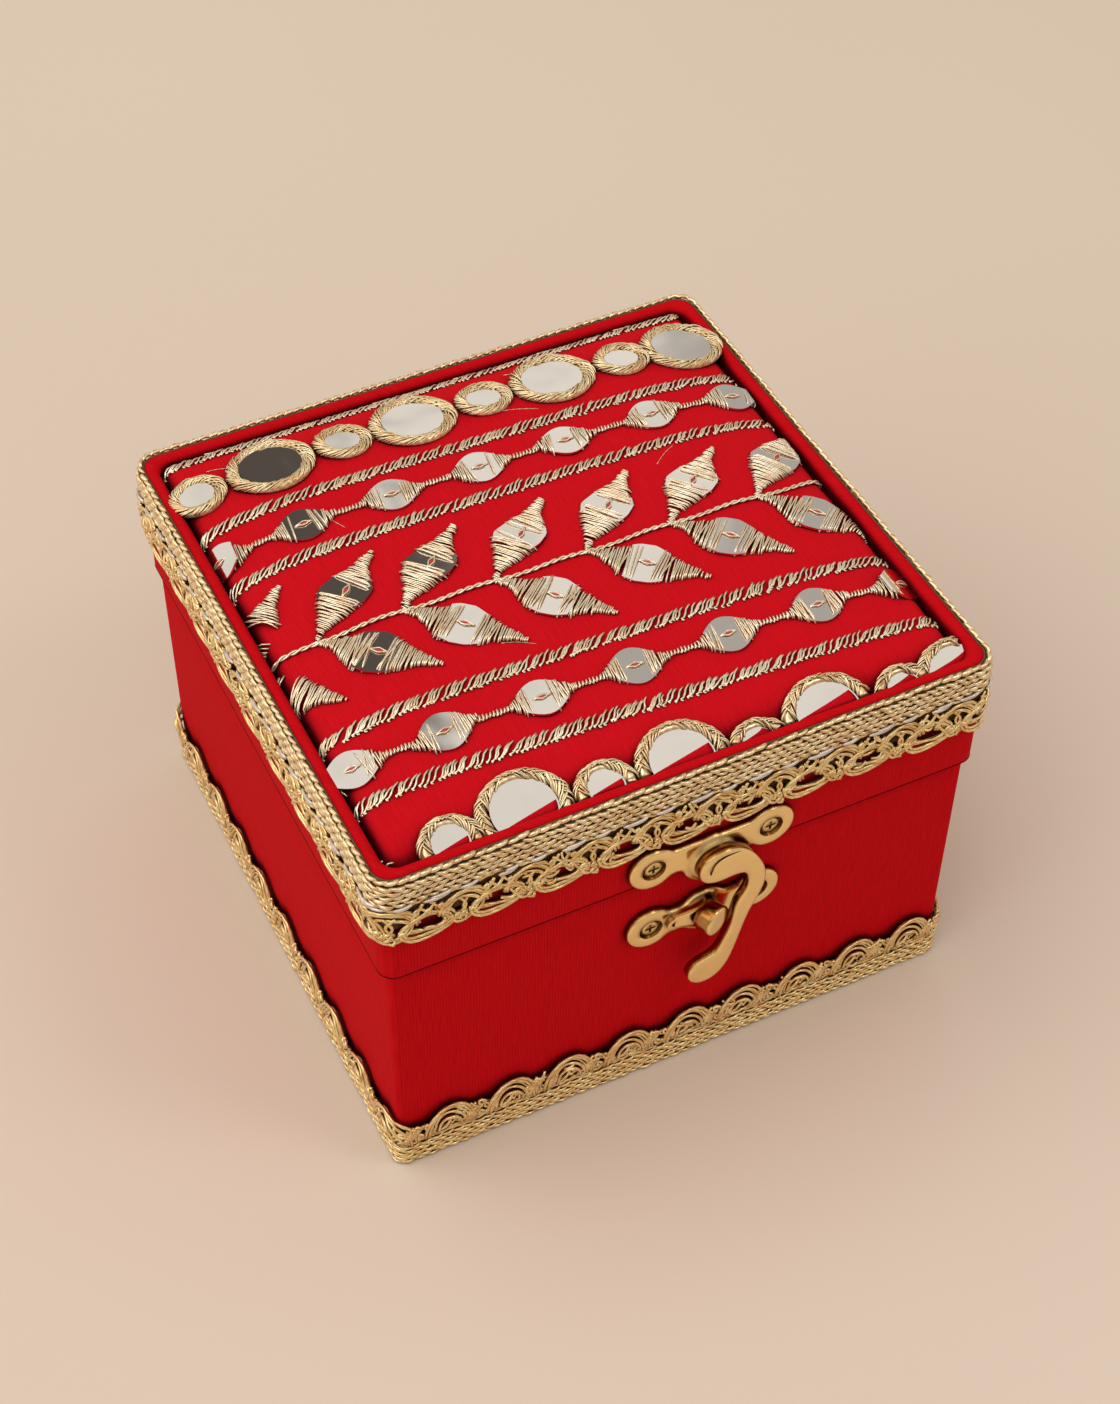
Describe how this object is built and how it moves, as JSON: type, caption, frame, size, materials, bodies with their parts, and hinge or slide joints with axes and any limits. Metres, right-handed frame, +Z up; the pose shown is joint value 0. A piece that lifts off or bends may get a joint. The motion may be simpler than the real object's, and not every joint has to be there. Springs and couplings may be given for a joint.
{
  "type": "keepsake box",
  "caption": "Square red cloth-covered box with a hinged lid, padded embroidered mirror-work panel, gold lace trim and a brass swing latch.",
  "frame": {"origin": "centre of the flat underside the box rests on, midway between the lid's sides and between its front and back faces", "axes": "+Z up, -Y to the front where the latch is, +X to the right seen from the front"},
  "size_m": [0.1302, 0.1333, 0.0939],
  "materials": {
    "red_cloth": "satin, fine ribs",
    "lining_cloth": "soft satin",
    "underside_felt": "matte",
    "greyboard": "matte",
    "wadding": "matte, hidden",
    "gold_lace": "metallic thread",
    "gold_thread": "metallic thread",
    "mirror_glass": "polished",
    "latch_brass": "polished",
    "screw_brass": "polished",
    "hinge_brass": "satin"
  },
  "bodies": {
    "base": {"base_back_lining": "lining_cloth", "base_back_wall": "greyboard", "base_cover_cloth": "red_cloth", "base_floor_board": "greyboard", "base_floor_lining": "lining_cloth", "base_front_lining": "lining_cloth", "base_front_wall": "greyboard", "base_lace": "gold_lace", "base_left_lining": "lining_cloth", "base_left_wall": "greyboard", "base_right_lining": "lining_cloth", "base_right_wall": "greyboard", "base_underside_felt": "underside_felt", "catch_plate_screws": "screw_brass", "hinge_base_screws": "screw_brass", "hinge_left_base_leaf": "hinge_brass", "hinge_left_pin": "hinge_brass", "hinge_right_base_leaf": "hinge_brass", "hinge_right_pin": "hinge_brass", "latch_catch_plate": "latch_brass", "latch_catch_stud": "latch_brass"},
    "lid": {"almond_mirrors": "mirror_glass", "almond_threads": "gold_thread", "hinge_left_lid_leaf": "hinge_brass", "hinge_lid_screws": "screw_brass", "hinge_right_lid_leaf": "hinge_brass", "large_round_mirrors": "mirror_glass", "latch_plate_screws": "screw_brass", "latch_top_plate": "latch_brass", "leaf_mirrors": "mirror_glass", "leaf_threads": "gold_thread", "lid_back_lining": "lining_cloth", "lid_back_wall": "greyboard", "lid_cover_cloth": "red_cloth", "lid_front_lining": "lining_cloth", "lid_front_wall": "greyboard", "lid_lace": "gold_lace", "lid_left_lining": "lining_cloth", "lid_left_wall": "greyboard", "lid_right_lining": "lining_cloth", "lid_right_wall": "greyboard", "lid_top_board": "greyboard", "lid_top_lining": "lining_cloth", "mirror_thread_rings": "gold_thread", "panel_card": "greyboard", "panel_embroidered_cloth": "red_cloth", "panel_padding": "wadding", "rope_stitch_bands": "gold_thread", "small_round_mirrors": "mirror_glass", "vine_stem_thread": "gold_thread"},
    "latch_arm": {"latch_arm": "latch_brass", "latch_pivot_rivet": "latch_brass"}
  },
  "joints": [
    {"name": "lid_hinge", "type": "hinge", "parent": "base", "child": "lid", "pos_m": [0, 0.0637, 0.062], "axis": [-1, 0, 0], "range_deg": [0, 100]},
    {"name": "latch_swing", "type": "hinge", "parent": "lid", "child": "latch_arm", "pos_m": [0.0034, -0.0645, 0.0645], "axis": [0, -1, 0], "range_deg": [0, 120]}
  ]
}
